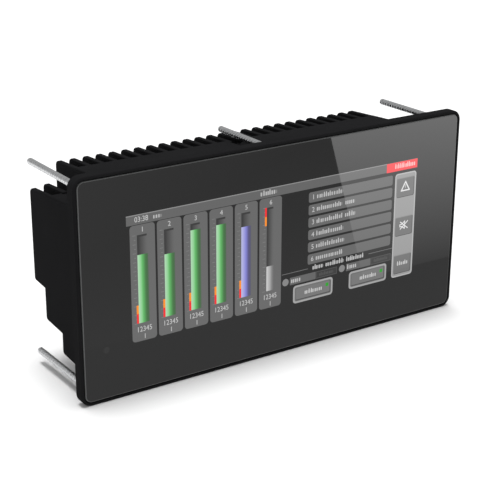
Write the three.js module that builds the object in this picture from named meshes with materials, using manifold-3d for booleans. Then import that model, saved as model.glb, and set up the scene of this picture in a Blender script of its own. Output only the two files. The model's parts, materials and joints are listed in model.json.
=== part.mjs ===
// HMI touch panel: a flush-mount touch display with a finned die-cast rear housing.
// Millimetres. +Z up, +X to the right seen from the front, +Y into the console.
// The origin is the middle of the console cut-out, in the plane of the console's front surface.

import * as THREE from "three";
import { mergeVertices } from "three/addons/utils/BufferGeometryUtils.js";
import Module from "manifold-3d";

const wasm = await Module();
wasm.setup();

// ---------- driving dimensions ----------

const GAP = 0.3; // air between neighbouring pieces

const FRAME = { width: 270, height: 132, depth: 7, radius: 6.5, edge: 1 };
const GLASS = { width: 265.4, height: 127.6, thickness: 2, radius: 5, groove: 0.5, chamfer: 0.3 };
const TAPE = { border: 11, inset: 2 };
const TOUCH = { width: 222, height: 92 };
const LEDGE_Y = -3.8; // the shelf of the frame that carries the glass
const WINDOW = { width: 224, height: 93.4 };

const LCD = { width: 218.8, height: 90.4, front: -3.9, back: -2.1 };
const BACKLIGHT = { width: 218, height: 89.6, front: -1.8, back: 3.5 };
const BACK_PLATE = { width: 214, height: 85.6, front: 3.8, back: 4.6 };

const STUD = { diameter: 4, tip: 61.2, x: 127.4, z: 58.2, head: 7, headDepth: 1.1 };

// Side profile of the finned housing: how deep each of its three steps reaches, and where each ends below.
const HOUSING = { front: GAP, wall: 3, topAtFront: 57.6, topDraft: 0.057, lowerDraft: 0.08 };
const STEPS = [
  { depth: 69.3, under: -16.6 },
  { depth: 55.9, under: -37.3 },
  { depth: 35.7, under: -51.6 },
];
const FIN = { pitch: 8.5, thickness: 3.2, reach: 23.3, tipRadius: 3, cornerRadius: 2 };
const FULL_FINS = 26;
const SHORT_FINS = 2; // on each end, lower so that the corner studs stay clear
const SHORT_FIN_TOPS = [46, 44.6]; // at the front plane, the inner short fin and the outer one
const FLANGE = { halfWidth: 122, thickness: 8.7 };
const STUD_GROOVE = { radius: 6.5, boss: 9.5 };

const SCREW = { shank: 3, head: 5.6, headDepth: 1.7, hole: 3.6, boss: 3.6, reach: 9, x: [38, 96], z: 51.5 };

const BOARD = { width: 152, bottom: -48.3, top: 38, front: 26, thickness: 1.6 };
const BOARD_SCREW = { x: 70, z: [32, -8], reach: 36, shank: 1.5, head: 2.8, hole: 1.8, boss: 4 };
const CELL = { x: -52, z: 14, radius: 10, holder: 12 };
const BUZZER = { x: 52, z: 14, radius: 6, height: 7, mouth: 1 };
const CABLE = { thickness: 0.4, bend: 5, z: 38 };

// Connector field on the underside of the lowest step.
const FIELD = { halfWidth: 80, bottom: -53, top: -34, firstY: 11 };
const CONNECTOR_MOUTH = FIELD.bottom - 0.8;
const CONNECTOR_BACK = BOARD.front - GAP;

// ---------- shapes ----------

// A three.js geometry as a manifold solid.
function solid(geometry) {
  const bare = geometry.index ? geometry.toNonIndexed() : geometry.clone();
  bare.deleteAttribute("normal");
  bare.deleteAttribute("uv");
  const merged = mergeVertices(bare, 1e-4);
  const vertProperties = new Float32Array(merged.attributes.position.array);
  const triVerts = new Uint32Array(merged.index.array);
  return new wasm.Manifold(new wasm.Mesh({ numProp: 3, vertProperties, triVerts }));
}

// A manifold solid as a three.js geometry with flat faces.
function geometryOf(manifold) {
  const mesh = manifold.getMesh();
  const indexed = new THREE.BufferGeometry();
  indexed.setAttribute("position", new THREE.BufferAttribute(mesh.vertProperties, mesh.numProp));
  indexed.setIndex(new THREE.BufferAttribute(mesh.triVerts, 1));
  const flat = indexed.toNonIndexed();
  flat.computeVertexNormals();
  return flat;
}

function box(x0, x1, y0, y1, z0, z1) {
  const geometry = new THREE.BoxGeometry(x1 - x0, y1 - y0, z1 - z0);
  geometry.translate((x0 + x1) / 2, (y0 + y1) / 2, (z0 + z1) / 2);
  return solid(geometry);
}

// A round bar from y0 to y1, centred on (x, z).
function barY(radius, x, z, y0, y1, sides = 12) {
  const geometry = new THREE.CylinderGeometry(radius, radius, y1 - y0, sides);
  geometry.translate(x, (y0 + y1) / 2, z);
  return solid(geometry);
}

// A round bar along Z through (x, y).
function barZ(radius, x, y, z0, z1, sides = 12) {
  const geometry = new THREE.CylinderGeometry(radius, radius, z1 - z0, sides);
  geometry.rotateX(Math.PI / 2);
  geometry.translate(x, y, (z0 + z1) / 2);
  return solid(geometry);
}

// A round bar along X through (y, z).
function barX(radius, y, z, x0, x1, sides = 16) {
  const geometry = new THREE.CylinderGeometry(radius, radius, x1 - x0, sides);
  geometry.rotateZ(Math.PI / 2);
  geometry.translate((x0 + x1) / 2, y, z);
  return solid(geometry);
}

// A bar along Y whose radius changes: profile is [radius, y] pairs from the front to the back.
function turnedY(profile, x, z, sides = 16) {
  const points = profile.map(([radius, y]) => new THREE.Vector2(radius, y));
  const geometry = new THREE.LatheGeometry(points, sides);
  geometry.translate(x, 0, z);
  return solid(geometry);
}

function roundedRectangle(width, height, radius) {
  const w = width / 2 - radius;
  const h = height / 2 - radius;
  const shape = new THREE.Shape();
  shape.absarc(w, h, radius, 0, Math.PI / 2);
  shape.absarc(-w, h, radius, Math.PI / 2, Math.PI);
  shape.absarc(-w, -h, radius, Math.PI, Math.PI * 1.5);
  shape.absarc(w, -h, radius, Math.PI * 1.5, Math.PI * 2);
  return shape;
}

// A plate parallel to the front, from y0 to y1. An edge size rounds its outline on both faces.
function plate(shape, y0, y1, edge, curveSegments) {
  const geometry = new THREE.ExtrudeGeometry(shape, {
    depth: y1 - y0 - 2 * edge,
    bevelEnabled: edge > 0,
    bevelThickness: edge,
    bevelSize: edge,
    bevelOffset: -edge,
    bevelSegments: 2,
    curveSegments,
  });
  geometry.rotateX(Math.PI / 2);
  geometry.translate(0, y1 - edge, 0);
  return solid(geometry);
}

function roundedPlate(width, height, radius, y0, y1, edge = 0) {
  const curveSegments = radius > 4 ? 6 : 2;
  return plate(roundedRectangle(width, height, radius), y0, y1, edge, curveSegments);
}

// A ring parallel to the front between two rounded rectangles.
function ringPlate(width, height, radius, border, y0, y1) {
  const outer = roundedPlate(width, height, radius, y0, y1);
  const innerRadius = Math.max(radius - border, 1);
  const inner = roundedPlate(width - 2 * border, height - 2 * border, innerRadius, y0 - 1, y1 + 1);
  return outer.subtract(inner);
}

// A side profile, [y, z] points or a shape, swept along X from x0 to x1.
function sweptX(outline, x0, x1, curveSegments = 3) {
  const shape = outline instanceof THREE.Shape
    ? outline
    : new THREE.Shape(outline.map(([y, z]) => new THREE.Vector2(y, z)));
  const geometry = new THREE.ExtrudeGeometry(shape, {
    depth: x1 - x0,
    bevelEnabled: false,
    curveSegments,
  });
  geometry.applyMatrix4(new THREE.Matrix4().set(0, 0, 1, x0, 1, 0, 0, 0, 0, 1, 0, 0, 0, 0, 0, 1));
  return solid(geometry);
}

const union = (solids) => solids.reduce((sum, next) => sum.add(next));

// ---------- scene graph ----------

const panel = new THREE.Group();

const finish = {
  castBlack: { color: 0x1b1c1e, roughness: 0.6, metalness: 0.3 },
  anodisedBlack: { color: 0x1f2022, roughness: 0.5, metalness: 0.4 },
  coverGlass: { color: 0x26282b, roughness: 0.06, metalness: 0 },
  zincSteel: { color: 0xb9bcc0, roughness: 0.35, metalness: 1 },
  blackSteel: { color: 0x2a2b2d, roughness: 0.4, metalness: 0.8 },
  sheetSteel: { color: 0xa9adb1, roughness: 0.4, metalness: 0.9 },
  blackRubber: { color: 0x151515, roughness: 0.9, metalness: 0 },
  foamTape: { color: 0x101010, roughness: 0.9, metalness: 0 },
  sensorFilm: { color: 0x6f7f86, roughness: 0.2, metalness: 0 },
  lcdGlass: { color: 0x2a3136, roughness: 0.15, metalness: 0 },
  whitePlastic: { color: 0xe4e4de, roughness: 0.5, metalness: 0 },
  boardGreen: { color: 0x1f5c3a, roughness: 0.5, metalness: 0 },
  blackPlastic: { color: 0x1c1c1c, roughness: 0.55, metalness: 0 },
  greenPlastic: { color: 0x3f8f4f, roughness: 0.5, metalness: 0 },
  redPlastic: { color: 0xb03428, roughness: 0.45, metalness: 0 },
  padPink: { color: 0xc08a90, roughness: 0.8, metalness: 0 },
  flatCable: { color: 0xd8d2bd, roughness: 0.5, metalness: 0 },
  clearPlastic: { color: 0x8a8f92, roughness: 0.1, metalness: 0 },
};

function place(name, manifold, look) {
  const mesh = new THREE.Mesh(geometryOf(manifold), new THREE.MeshStandardMaterial(finish[look]));
  mesh.name = name;
  panel.add(mesh);
}

// ---------- six mounting studs ----------

const studPlaces = [];
for (const [row, z] of [["top", STUD.z], ["bottom", -STUD.z]]) {
  for (const [column, x] of [["left", -STUD.x], ["middle", 0], ["right", STUD.x]]) {
    studPlaces.push({ name: `mounting_stud_${row}_${column}`, x, z });
  }
}

for (const { name, x, z } of studPlaces) {
  const head = LEDGE_Y + 0.1;
  const r = STUD.diameter / 2;
  const chamfer = 0.6;
  const profile = [
    [0, head],
    [STUD.head / 2, head],
    [STUD.head / 2, head + STUD.headDepth],
    [r, head + STUD.headDepth],
    [r, STUD.tip - chamfer],
    [r - chamfer, STUD.tip],
    [0, STUD.tip],
  ];
  place(name, turnedY(profile, x, z), "zincSteel");
}

// ---------- front frame ----------

const screwPlaces = [];
for (const z of [SCREW.z, -SCREW.z]) {
  for (const x of [-SCREW.x[1], -SCREW.x[0], SCREW.x[0], SCREW.x[1]]) {
    screwPlaces.push({ x, z });
  }
}

const SENSOR = { x: -118.8, z: -35.4, radius: 2, hole: 2.4 };
const GASKET = { width: 267, height: 129, radius: 4, section: 3, depth: 1.4 };
const SEAL = { width: 229, height: 98.8, radius: 3, section: 1.4, depth: 1.1 };
{
  const back = roundedPlate(FRAME.width, FRAME.height, FRAME.radius, -FRAME.depth + 2, 0);
  const front = roundedPlate(FRAME.width, FRAME.height, FRAME.radius, -FRAME.depth, -1, FRAME.edge);
  const recessWidth = GLASS.width + 2 * GLASS.groove;
  const recessHeight = GLASS.height + 2 * GLASS.groove;
  const recess = roundedPlate(recessWidth, recessHeight, GLASS.radius + 0.3, -FRAME.depth - 1, LEDGE_Y);
  let frame = back.add(front).subtract(recess);
  frame = frame.subtract(roundedPlate(WINDOW.width, WINDOW.height, 3, -FRAME.depth, 1));
  for (const { x, z } of studPlaces) {
    frame = frame.subtract(barY(STUD.diameter / 2 + GAP, x, z, -FRAME.depth, 1));
    const seat = LEDGE_Y + STUD.headDepth + 0.4;
    frame = frame.subtract(barY(STUD.head / 2 + GAP, x, z, -FRAME.depth, seat));
  }
  for (const { x, z } of screwPlaces) {
    frame = frame.subtract(barY(SCREW.hole / 2, x, z, -FRAME.depth, 1, 8));
    const seat = LEDGE_Y + SCREW.headDepth + 0.4;
    frame = frame.subtract(barY(SCREW.head / 2 + GAP, x, z, -FRAME.depth, seat));
  }
  frame = frame.subtract(barY(SENSOR.hole, SENSOR.x, SENSOR.z, -FRAME.depth, -1.5));
  for (const { width, height, radius, section, depth } of [GASKET, SEAL]) {
    frame = frame.subtract(ringPlate(width, height, radius, section, -depth, 1));
  }
  place("front_frame", frame, "anodisedBlack");
}

{
  const inset = 0.2;
  const width = GASKET.width - 2 * inset;
  const height = GASKET.height - 2 * inset;
  const section = GASKET.section - 2 * inset;
  const gasket = ringPlate(width, height, GASKET.radius, section, -GASKET.depth + 0.2, 0);
  place("panel_gasket", gasket, "blackRubber");
}
{
  const inset = 0.1;
  const width = SEAL.width - 2 * inset;
  const height = SEAL.height - 2 * inset;
  const section = SEAL.section - 2 * inset;
  const seal = ringPlate(width, height, SEAL.radius, section, -SEAL.depth + 0.2, 0.1);
  place("housing_seal", seal, "blackRubber");
}

// ---------- glass, touch sensor and display ----------

{
  const front = -FRAME.depth;
  const back = front + GLASS.thickness;
  const glass = roundedPlate(GLASS.width, GLASS.height, GLASS.radius, front, back, GLASS.chamfer);
  place("cover_glass", glass, "coverGlass");

  const { border, inset } = TAPE;
  const outerWidth = GLASS.width - 2 * inset;
  const outerHeight = GLASS.height - 2 * inset;
  const tape = ringPlate(outerWidth, outerHeight, GLASS.radius, border, back + 0.2, LEDGE_Y - 0.2);
  place("glass_tape", tape.subtract(barY(SENSOR.hole, SENSOR.x, SENSOR.z, front, 0)), "foamTape");

  const sensor = roundedPlate(TOUCH.width, TOUCH.height, 1, back + 0.2, LCD.front - 0.2);
  place("touch_sensor", sensor, "sensorFilm");
  place("lcd_panel", roundedPlate(LCD.width, LCD.height, 1, LCD.front, LCD.back), "lcdGlass");
}

const PLATE_SCREW = { x: 102, z: 38, reach: 1.6, shank: 1, head: 1.9 };
const platePlaces = [];
for (const z of [PLATE_SCREW.z, -PLATE_SCREW.z]) {
  for (const x of [-PLATE_SCREW.x, PLATE_SCREW.x]) {
    platePlaces.push({ x, z });
  }
}
{
  let backlight = roundedPlate(BACKLIGHT.width, BACKLIGHT.height, 1, BACKLIGHT.front, BACKLIGHT.back);
  let backPlate = roundedPlate(BACK_PLATE.width, BACK_PLATE.height, 2, BACK_PLATE.front, BACK_PLATE.back);
  for (const { x, z } of platePlaces) {
    backlight = backlight.subtract(barY(PLATE_SCREW.shank + GAP, x, z, PLATE_SCREW.reach - 0.6, 9, 8));
    backPlate = backPlate.subtract(barY(PLATE_SCREW.shank + GAP, x, z, 0, 9, 8));
  }
  place("backlight_unit", backlight, "whitePlastic");
  place("display_back_plate", backPlate, "sheetSteel");
}
platePlaces.forEach(({ x, z }, i) => {
  const under = BACK_PLATE.back + 0.1;
  const profile = [
    [0, PLATE_SCREW.reach],
    [PLATE_SCREW.shank, PLATE_SCREW.reach],
    [PLATE_SCREW.shank, under],
    [PLATE_SCREW.head, under],
    [PLATE_SCREW.head, under + 1],
    [0, under + 1],
  ];
  place(`back_plate_screw_${i + 1}`, turnedY(profile, x, z, 12), "zincSteel");
});

// Ambient light sensor, seen as a faint round dot through the glass.
place("light_sensor", barY(SENSOR.radius, SENSOR.x, SENSOR.z, -4.8, -1.8, 16), "clearPlastic");

// ---------- finned rear housing ----------

const topAt = (y) => HOUSING.topAtFront - HOUSING.topDraft * y;
const shortTopAt = (order) => (y) => SHORT_FIN_TOPS[order] - HOUSING.topDraft * y;
const lobeTopAt = shortTopAt(SHORT_FINS - 1);
const underAt = (step, y) => STEPS[step].under - HOUSING.lowerDraft * (STEPS[step].depth - y);

// Side outline of one fin plate, with a rounded tip and rounded outer corners on the steps.
function finOutline(top) {
  const shape = new THREE.Shape();
  const tip = STEPS[0].depth;
  const r = FIN.tipRadius;
  const c = FIN.cornerRadius;
  shape.moveTo(HOUSING.front, top(HOUSING.front));
  shape.lineTo(tip - r, top(tip - r));
  shape.quadraticCurveTo(tip, top(tip), tip, top(tip) - r);
  STEPS.forEach(({ depth }, step) => {
    const next = step + 1 < STEPS.length ? STEPS[step + 1].depth : HOUSING.front;
    shape.lineTo(depth, underAt(step, depth) + c);
    shape.quadraticCurveTo(depth, underAt(step, depth), depth - c, underAt(step, depth - c));
    shape.lineTo(next, underAt(step, next));
  });
  return shape;
}

// Outline of the hollow body in front of the fins; inset shrinks it for the cavity.
function bodyOutline(top, inset) {
  const depths = STEPS.map(({ depth }) => depth - FIN.reach - inset);
  const front = inset > 0 ? HOUSING.front - 1 : HOUSING.front;
  const outline = [[front, top(front) - inset], [depths[0], top(depths[0]) - inset]];
  depths.forEach((depth, step) => {
    const next = step + 1 < STEPS.length ? depths[step + 1] : front;
    outline.push([depth, underAt(step, depth) + inset], [next, underAt(step, next) + inset]);
  });
  return outline;
}

const finCentre = (index) => (index - (FULL_FINS - 1) / 2) * FIN.pitch;
const fullHalf = finCentre(FULL_FINS - 1) + FIN.thickness / 2;
const endHalf = finCentre(FULL_FINS - 1 + SHORT_FINS) + FIN.thickness / 2;
const cavityEnd = endHalf - HOUSING.wall;
const chip = { halfWidth: 14, z: 14, back: 30, padBack: 31.2, pedestal: 20 };
const POCKET_DEPTH = 6; // room in the housing for the display's rear half
const FIELD_WALL = 4; // the openings of the field are cut at least this deep
const bosses = [];
for (const z of BOARD_SCREW.z) {
  for (const x of [-BOARD_SCREW.x, BOARD_SCREW.x]) {
    bosses.push({ x, z });
  }
}

// Sockets in the connector field: width along X, depth along Y, how far each reaches up into the housing.
const sockets = {
  power_header: { x: -64, width: 17, depth: 9, top: -40 },
  alarm_header: { x: -43, width: 17, depth: 9, top: -40 },
  bus_header_1: { x: -19, width: 14, depth: 9, top: -40 },
  bus_header_2: { x: 7, width: 14, depth: 9, top: -40 },
  network_jack_1: { x: 29, width: 16, depth: 13.4, top: -38 },
  network_jack_2: { x: 48, width: 16, depth: 13.4, top: -38 },
  usb_socket: { x: 67, width: 14.4, depth: 7, top: -39 },
};
const RESET = { x: 17, z: -43, size: 4, radius: 1.6, travel: 1.2 };
const RESET_Y = CONNECTOR_BACK - 2.6;
const TERMINATION = { x: -6, width: 9, depth: 4, height: 5, travel: 3, z: -44, knob: 2.4 };
const TERMINATION_Y = CONNECTOR_BACK - TERMINATION.depth / 2;
const VENT = { x: -58, z: -45.5, stem: 3.2, reach: 5, cap: 5, capDepth: 2 };
const EARTH = { x: 58, z: -45.5, shank: 2, reach: 6, head: 3.6, headDepth: 2.4, boss: 5 };
const REAR_OF_FIELD = STEPS[2].depth;

{
  const lobes = sweptX(bodyOutline(lobeTopAt, 0), -endHalf, endHalf);
  const middle = sweptX(bodyOutline(topAt, 0), -fullHalf, fullHalf);
  const flange = box(
    -FLANGE.halfWidth, FLANGE.halfWidth,
    HOUSING.front, HOUSING.front + FLANGE.thickness,
    underAt(2, FLANGE.thickness) + 0.2, topAt(FLANGE.thickness) - 0.2,
  );
  const field = box(
    -FIELD.halfWidth, FIELD.halfWidth,
    FIELD.firstY - 3, REAR_OF_FIELD,
    FIELD.bottom - 0.4, FIELD.top,
  );
  let housing = union([lobes, middle, flange, field]);
  for (let index = -SHORT_FINS; index < FULL_FINS + SHORT_FINS; index += 1) {
    const beyond = index < 0 ? -index : index - FULL_FINS + 1;
    const outline = finOutline(beyond > 0 ? shortTopAt(beyond - 1) : topAt);
    const x = finCentre(index);
    housing = housing.add(sweptX(outline, x - FIN.thickness / 2, x + FIN.thickness / 2));
  }

  // Hollow inside, open to the front.
  const wall = HOUSING.wall;
  const lobeCavity = sweptX(bodyOutline(lobeTopAt, wall), -cavityEnd, cavityEnd);
  const middleCavity = sweptX(bodyOutline(topAt, wall), -fullHalf + wall, fullHalf - wall);
  const fieldCavity = box(
    -FIELD.halfWidth + wall, FIELD.halfWidth - wall,
    0, REAR_OF_FIELD - wall,
    FIELD.bottom + wall, FIELD.top + 6,
  );
  const displayPocket = box(
    -WINDOW.width / 2, WINDOW.width / 2,
    0, POCKET_DEPTH,
    -WINDOW.height / 2, WINDOW.height / 2,
  );
  let hollow = union([lobeCavity, middleCavity, fieldCavity, displayPocket]);

  // What stays standing inside: stud tunnel, screw bosses, board bosses and the processor's pedestal.
  const bodyDepth = STEPS[0].depth - FIN.reach;
  hollow = hollow.subtract(barY(STUD_GROOVE.boss, 0, STUD.z, 0, bodyDepth, 24));
  for (const { x, z } of screwPlaces) {
    hollow = hollow.subtract(barY(SCREW.boss, x, z, -1, SCREW.reach + 2, 12));
  }
  for (const { x, z } of bosses) {
    const boardBack = BOARD.front + BOARD.thickness + GAP;
    hollow = hollow.subtract(barY(BOARD_SCREW.boss, x, z, boardBack, bodyDepth, 16));
  }
  hollow = hollow.subtract(box(
    -chip.pedestal, chip.pedestal,
    chip.padBack + 0.2, bodyDepth,
    chip.z - chip.pedestal, chip.z + chip.pedestal,
  ));
  hollow = hollow.subtract(barY(EARTH.boss, EARTH.x, EARTH.z, REAR_OF_FIELD - 8, REAR_OF_FIELD, 16));
  housing = housing.subtract(hollow);

  // Clearance groove under the middle stud, and the flat field that the sockets open through.
  housing = housing.subtract(barY(STUD_GROOVE.radius, 0, STUD.z, -1, STEPS[0].depth + 1, 24));
  housing = housing.subtract(box(
    -FIELD.halfWidth + 2, FIELD.halfWidth - 2,
    FIELD.firstY, REAR_OF_FIELD + 1,
    FIELD.bottom - 4, FIELD.bottom,
  ));
  for (const { x, z } of screwPlaces) {
    housing = housing.subtract(barY(SCREW.shank / 2 + GAP, x, z, -1, SCREW.reach + GAP, 12));
  }
  for (const { x, z } of bosses) {
    housing = housing.subtract(barY(BOARD_SCREW.hole, x, z, BOARD.front, BOARD_SCREW.reach + GAP, 12));
  }
  const below = FIELD.bottom - 1;
  const above = FIELD.bottom + FIELD_WALL;
  for (const { x, width, depth } of Object.values(sockets)) {
    const half = width / 2 + GAP;
    const front = CONNECTOR_BACK - depth - GAP;
    housing = housing.subtract(box(x - half, x + half, front, CONNECTOR_BACK + GAP, below, above));
  }
  housing = housing.subtract(barZ(RESET.radius + 0.5, RESET.x, RESET_Y, below, above, 16));
  const slotHalf = TERMINATION.travel / 2 + TERMINATION.knob / 2 + 0.5;
  housing = housing.subtract(box(
    TERMINATION.x - slotHalf, TERMINATION.x + slotHalf,
    TERMINATION_Y - 1.6, TERMINATION_Y + 1.6,
    below, above,
  ));
  const rear = REAR_OF_FIELD + 1;
  housing = housing.subtract(barY(VENT.stem + GAP, VENT.x, VENT.z, REAR_OF_FIELD - VENT.reach, rear, 16));
  const earthEnd = REAR_OF_FIELD - EARTH.reach - 1;
  housing = housing.subtract(barY(EARTH.shank + GAP, EARTH.x, EARTH.z, earthEnd, rear, 12));
  place("rear_housing", housing, "castBlack");
}

screwPlaces.forEach(({ x, z }, i) => {
  const head = LEDGE_Y + 0.2;
  const profile = [
    [0, head],
    [SCREW.head / 2, head],
    [SCREW.head / 2, head + SCREW.headDepth],
    [SCREW.shank / 2, head + SCREW.headDepth],
    [SCREW.shank / 2, SCREW.reach],
    [0, SCREW.reach],
  ];
  place(`housing_screw_${i + 1}`, turnedY(profile, x, z, 12), "blackSteel");
});

// ---------- main board and what it carries ----------

const BOARD_BACK = BOARD.front + BOARD.thickness;
{
  let board = box(-BOARD.width / 2, BOARD.width / 2, BOARD.front, BOARD_BACK, BOARD.bottom, BOARD.top);
  for (const { x, z } of bosses) {
    board = board.subtract(barY(BOARD_SCREW.hole, x, z, BOARD.front - 1, BOARD_BACK + 1, 12));
  }
  // Chips and coils of the power stage stand on the front face.
  const parts = [ // left, right, height, bottom and top of each
    [-66, -52, 3, -20, -8],
    [-46, -36, 5, -22, -12],
    [-28, -12, 2, -18, -2],
    [30, 46, 2, -20, -6],
    [52, 60, 4, -18, -10],
    [-20, -8, 1.5, 22, 30],
    [22, 34, 1.5, 20, 32],
  ];
  for (const [x0, x1, height, z0, z1] of parts) {
    board = board.add(box(x0, x1, BOARD.front - height, BOARD.front + 0.4, z0, z1));
  }
  place("main_board", board, "boardGreen");
}
bosses.forEach(({ x, z }, i) => {
  const { head, shank, reach } = BOARD_SCREW;
  const under = BOARD.front - 0.1;
  const profile = [
    [0, under - 2],
    [head, under - 2],
    [head, under],
    [shank, under],
    [shank, reach],
    [0, reach],
  ];
  place(`board_screw_${i + 1}`, turnedY(profile, x, z, 12), "zincSteel");
});
{
  const w = chip.halfWidth;
  place("processor", box(-w, w, BOARD_BACK + 0.1, chip.back, chip.z - w, chip.z + w), "blackPlastic");
  place("thermal_pad", box(-w, w, chip.back + 0.1, chip.padBack, chip.z - w, chip.z + w), "padPink");
}
{
  const front = BOARD.front - 0.1;
  const cup = barY(CELL.holder, CELL.x, CELL.z, front - 4, front, 24);
  const room = barY(CELL.radius + GAP, CELL.x, CELL.z, front - 5, front - 1, 24);
  place("cell_holder", cup.subtract(room), "blackPlastic");
  place("backup_cell", barY(CELL.radius, CELL.x, CELL.z, front - 4.4, front - 1.2, 24), "zincSteel");
  const body = barY(BUZZER.radius, BUZZER.x, BUZZER.z, front - BUZZER.height, front, 24);
  const mouth = barY(BUZZER.mouth, BUZZER.x, BUZZER.z, front - BUZZER.height - 1, front - 4, 8);
  place("buzzer", body.subtract(mouth), "blackPlastic");
}

// Flat cables fold once on their way from the display to the board.
function flatCable(name, x, width) {
  const { thickness, bend, z } = CABLE;
  const start = BACK_PLATE.back + 0.4;
  const end = BOARD.front - 0.2;
  const outline = [
    [start, z],
    [start, z + thickness],
    [start + bend, z + thickness],
    [end - bend, z - bend + thickness],
    [end, z - bend + thickness],
    [end, z - bend],
    [end - bend, z - bend],
    [start + bend, z],
  ];
  place(name, sweptX(outline.reverse(), x - width / 2, x + width / 2), "flatCable");
}
flatCable("display_cable", 4, 30);
flatCable("touch_cable", -36, 10);

// ---------- connectors on the underside ----------

// An open-bottomed shell with a cavity and pins or a tongue that stand in it.
function socket(name, cavity, inserts, look) {
  const { x, width, depth, top } = sockets[name];
  const y1 = CONNECTOR_BACK;
  const y0 = y1 - depth;
  const middle = (y0 + y1) / 2;
  let body = box(x - width / 2, x + width / 2, y0, y1, CONNECTOR_MOUTH, top);
  body = body.subtract(box(
    x - cavity.width / 2, x + cavity.width / 2,
    middle - cavity.depth / 2, middle + cavity.depth / 2,
    CONNECTOR_MOUTH - 1, CONNECTOR_MOUTH + cavity.height,
  ));
  for (const insert of inserts) {
    body = body.add(box(
      x + insert.x - insert.width / 2, x + insert.x + insert.width / 2,
      middle + insert.y - insert.depth / 2, middle + insert.y + insert.depth / 2,
      CONNECTOR_MOUTH + cavity.height - insert.height, top - 0.5,
    ));
  }
  place(name, body, look);
}

function pins(count, pitch) {
  const row = [];
  for (let i = 0; i < count; i += 1) {
    row.push({ x: (i - (count - 1) / 2) * pitch, y: 0, width: 1, depth: 1, height: 5.5 });
  }
  return row;
}

socket("power_header", { width: 15.4, depth: 7.4, height: 10 }, pins(3, 5.08), "greenPlastic");
socket("alarm_header", { width: 15.4, depth: 7.4, height: 10 }, pins(3, 5.08), "greenPlastic");
socket("bus_header_1", { width: 12.4, depth: 7.4, height: 10 }, pins(3, 3.81), "greenPlastic");
socket("bus_header_2", { width: 12.4, depth: 7.4, height: 10 }, pins(3, 3.81), "greenPlastic");
for (const name of ["network_jack_1", "network_jack_2"]) {
  const contacts = { x: 0, y: 4, width: 9, depth: 1.4, height: 6 };
  socket(name, { width: 11.8, depth: 8.6, height: 11.5 }, [contacts], "sheetSteel");
}
const tongue = { x: 0, y: 0.8, width: 11, depth: 1.8, height: 8 };
socket("usb_socket", { width: 12.6, depth: 5.4, height: 10 }, [tongue], "sheetSteel");

// Hinged cover over the USB socket. Its pin runs along X behind the socket.
const COVER = { halfWidth: 9.5, thickness: 1.6, y0: 16.4, hinge: 29.2, grip: 5 };
const BARREL = { radius: 1.6, half: 4.5 };
const PIN = { radius: 0.75, bore: 0.83, halfLength: 7.2 };
const LUG = { inner: 5, outer: 7.4, half: 1.8 };
const COVER_TOP = CONNECTOR_MOUTH - GAP;
const HINGE_Z = COVER_TOP - COVER.thickness / 2;
const usbX = sockets.usb_socket.x;
{
  const lid = box(
    usbX - COVER.halfWidth, usbX + COVER.halfWidth,
    COVER.y0, COVER.hinge,
    COVER_TOP - COVER.thickness, COVER_TOP,
  );
  const barrel = barX(BARREL.radius, COVER.hinge, HINGE_Z, usbX - BARREL.half, usbX + BARREL.half);
  let cover = lid.add(barrel);
  const outside = COVER.halfWidth + 1;
  for (const [x0, x1] of [[-outside, -BARREL.half], [BARREL.half, outside]]) {
    cover = cover.subtract(box(
      usbX + x0, usbX + x1,
      COVER.hinge - 3, COVER.hinge + 4,
      HINGE_Z - 4, COVER_TOP + 1,
    ));
  }
  const grip = box(
    usbX - COVER.grip, usbX + COVER.grip,
    COVER.y0 - 1, COVER.y0 + 0.5,
    COVER_TOP - COVER.thickness, COVER_TOP - 0.5,
  );
  const bore = barX(PIN.bore, COVER.hinge, HINGE_Z, usbX - 20, usbX + 20);
  place("usb_cover", cover.add(grip).subtract(bore), "blackRubber");

  // The pin's two carrier lugs hang from the connector field.
  for (const [side, direction] of [["left", -1], ["right", 1]]) {
    const inner = usbX + direction * LUG.inner;
    const outer = usbX + direction * LUG.outer;
    const lug = box(
      Math.min(inner, outer), Math.max(inner, outer),
      COVER.hinge - LUG.half, COVER.hinge + LUG.half,
      HINGE_Z - LUG.half, FIELD.bottom - 0.2,
    );
    place(`usb_hinge_lug_${side}`, lug.subtract(bore), "blackPlastic");
  }
  const pin = barX(PIN.radius, COVER.hinge, HINGE_Z, usbX - PIN.halfLength, usbX + PIN.halfLength);
  place("usb_hinge_pin", pin, "zincSteel");
}

// Reset push button: a plunger in the wall that presses a small switch on the board.
{
  const half = RESET.size / 2;
  const body = box(
    RESET.x - half, RESET.x + half,
    CONNECTOR_BACK - 5, CONNECTOR_BACK,
    RESET.z - half, RESET.z + half,
  );
  place("reset_switch", body, "blackPlastic");
  const top = RESET.z - half - RESET.travel - GAP;
  place("reset_button", barZ(RESET.radius, RESET.x, RESET_Y, FIELD.bottom - 1.8, top, 16), "redPlastic");
}

// Bus termination switch: a slider with two positions.
{
  const t = TERMINATION;
  const bodyBottom = t.z - t.height / 2;
  const body = box(
    t.x - t.width / 2, t.x + t.width / 2,
    TERMINATION_Y - t.depth / 2, TERMINATION_Y + t.depth / 2,
    bodyBottom, t.z + t.height / 2,
  );
  place("termination_switch", body, "blackPlastic");
  const knobX = t.x - t.travel / 2;
  const knob = box(
    knobX - t.knob / 2, knobX + t.knob / 2,
    TERMINATION_Y - 1.1, TERMINATION_Y + 1.1,
    FIELD.bottom - 1.2, bodyBottom - 0.3,
  );
  place("termination_slider", knob, "whitePlastic");
}

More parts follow.
